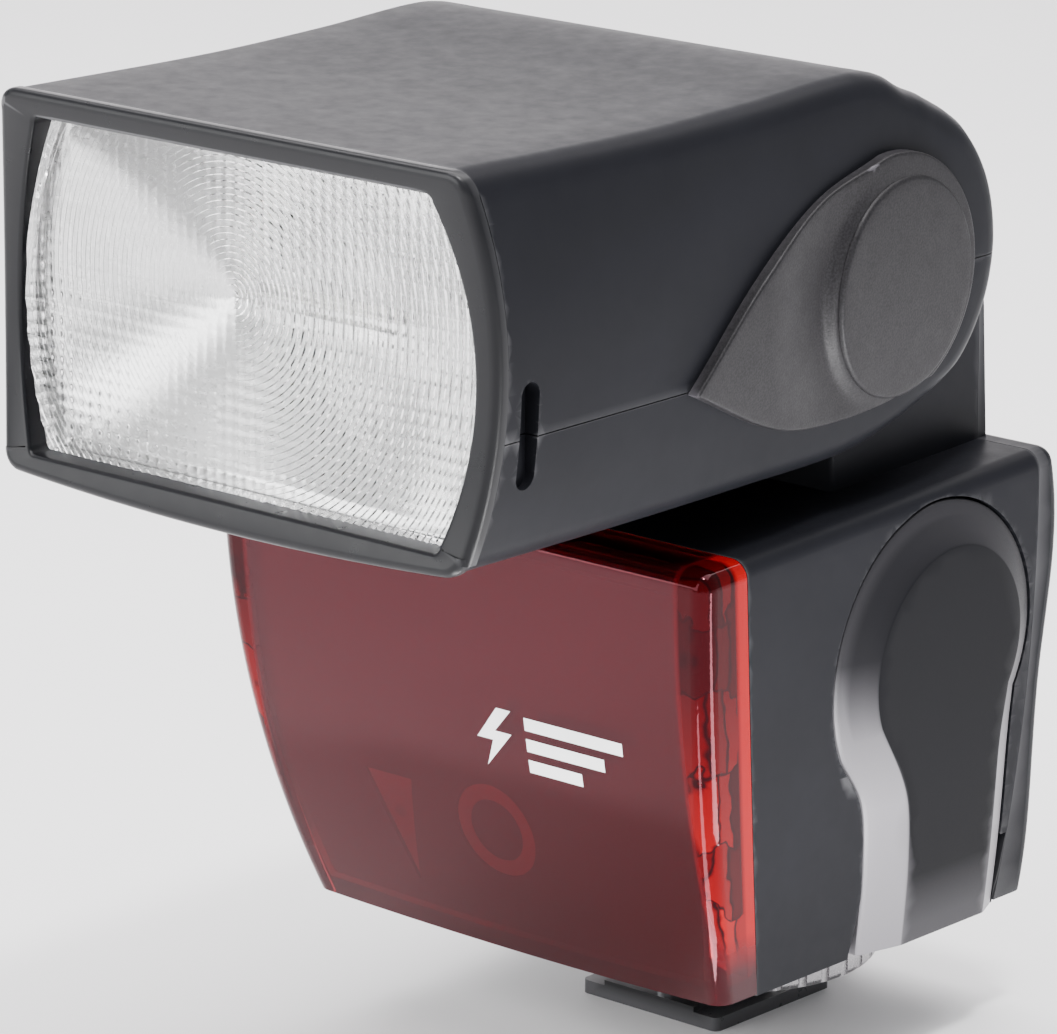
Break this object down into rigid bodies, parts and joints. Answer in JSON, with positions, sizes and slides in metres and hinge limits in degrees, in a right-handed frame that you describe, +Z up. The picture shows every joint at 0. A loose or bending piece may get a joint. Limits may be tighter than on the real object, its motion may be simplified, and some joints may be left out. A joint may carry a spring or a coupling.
{
  "type": "speedlight flash",
  "caption": "Compact shoe-mounted camera flash: bounce head with Fresnel window on a neck, body with translucent front window, side battery door, lock ring and foot.",
  "frame": {"origin": "underside of the shoe foot, on the axis of the lock ring", "axes": "+Z up from the shoe to the head, -Y the way the lamp faces, +X the side with the battery door"},
  "size_m": [0.0676, 0.0938, 0.1059],
  "materials": {
    "bezel_plastic": "satin black moulding",
    "board_green": "lacquered laminate",
    "button_plastic": "satin",
    "cap_plastic": "grained dark grey satin",
    "capacitor_sleeve": "heat-shrink sleeve",
    "cell_jacket": "printed sleeve",
    "component_black": "moulded",
    "door_plastic": "satin black moulding",
    "electrode_metal": "dull",
    "foot_plastic": "satin glass-filled nylon",
    "inner_plastic": "plain black",
    "lamp_plastic": "tinted clear",
    "lead_rubber": "cable sheath",
    "lens_acrylic": "clear ribbed acrylic",
    "nickel": "nickel plated",
    "panel_film": "matt film",
    "plate_metal": "satin",
    "red_acrylic": "gloss translucent red",
    "reflector_metal": "polished aluminium sheet",
    "ring_metal": "plated, ribbed rim",
    "sensor_window": "gloss",
    "shell_plastic": "fine-grained charcoal moulding",
    "silicone": "soft translucent",
    "smoked_plate": "satin",
    "spring_steel": "bright",
    "tube_glass": "clear glass",
    "winding_tape": "tape",
    "zinc": "zinc plated"
  },
  "bodies": {
    "root": {"tilt_axles": "plate_metal", "friction_washers": "inner_plastic", "wave_springs": "spring_steel", "lamp_leads": "lead_rubber", "body_front_shell": "shell_plastic", "body_rear_shell": "shell_plastic", "red_window": "red_acrylic", "window_backplate": "smoked_plate", "side_panel": "door_plastic", "door_hinge_pin": "spring_steel", "battery_cells": "cell_jacket", "battery_cradle": "inner_plastic", "battery_contacts": "nickel", "main_capacitor": "capacitor_sleeve", "power_board": "board_green", "transformer": "winding_tape", "power_switch_transistor": "component_black", "photo_sensor": "sensor_window", "assist_lamp": "lens_acrylic", "sensor_board": "board_green", "rear_panel": "panel_film", "indicator_lamps": "lamp_plastic", "control_board": "board_green", "board_switches": "component_black", "shoe_foot": "foot_plastic", "post_washer": "zinc", "post_screws": "zinc"},
    "head": {"head_upper_shell": "shell_plastic", "head_lower_shell": "shell_plastic", "head_screws": "zinc", "front_bezel": "bezel_plastic", "fresnel_lens": "lens_acrylic", "reflector": "reflector_metal", "flash_tube": "tube_glass", "tube_electrodes": "electrode_metal", "tube_sleeves": "silicone", "reflector_frame": "inner_plastic", "head_board": "board_green", "trigger_coil": "winding_tape", "board_connectors": "component_black", "tilt_cap_right": "cap_plastic", "tilt_cap_left": "cap_plastic"},
    "battery_door": {"battery_door": "door_plastic", "door_contact_plate": "nickel"},
    "ring_carrier": {"pressure_plate": "plate_metal"},
    "lock_ring": {"lock_ring": "ring_metal"},
    "lock_pin": {"lock_pin": "zinc"},
    "contact_pins": {"contact_pins": "nickel"},
    "test_button": {"test_button": "button_plastic"},
    "mode_button": {"mode_button": "button_plastic"},
    "power_switch": {"power_switch": "button_plastic"}
  },
  "joints": [
    {"name": "head_tilt", "type": "hinge", "parent": "root", "child": "head", "pos_m": [0, -0.0149, 0.0856], "axis": [-1, 0, 0], "range_deg": [0, 90]},
    {"name": "door_swing", "type": "hinge", "parent": "root", "child": "battery_door", "pos_m": [0.0253, 0, 0.017], "axis": [0, 1, 0], "range_deg": [0, 85]},
    {"name": "plate_slide", "type": "slide", "parent": "root", "child": "ring_carrier", "axis": [0, 0, -1], "range_m": [0, 0.00121]},
    {"name": "ring_turn", "type": "hinge", "parent": "ring_carrier", "child": "lock_ring", "pos_m": [0, 0, 0.008], "axis": [0, 0, 1], "range_deg": [0, 288]},
    {"name": "lock_pin_slide", "type": "slide", "parent": "root", "child": "lock_pin", "axis": [0, 0, -1], "range_m": [0, 0.00121]},
    {"name": "contact_pins_press", "type": "slide", "parent": "root", "child": "contact_pins", "axis": [0, 0, 1], "range_m": [0, 0.0004], "stiffness_N_per_m": 600},
    {"name": "test_button_press", "type": "slide", "parent": "root", "child": "test_button", "axis": [0, -1, 0], "range_m": [0, 0.0008], "stiffness_N_per_m": 500},
    {"name": "mode_button_press", "type": "slide", "parent": "root", "child": "mode_button", "axis": [0, -1, 0], "range_m": [0, 0.0008], "stiffness_N_per_m": 500},
    {"name": "power_switch_slide", "type": "slide", "parent": "root", "child": "power_switch", "axis": [1, 0, 0], "range_m": [0, 0.0035]}
  ],
  "couplings": [
    {"joint": "plate_slide", "follows": "ring_turn", "m_per_rad": 0.00023873},
    {"joint": "lock_pin_slide", "follows": "ring_turn", "m_per_rad": 0.00023873}
  ]
}
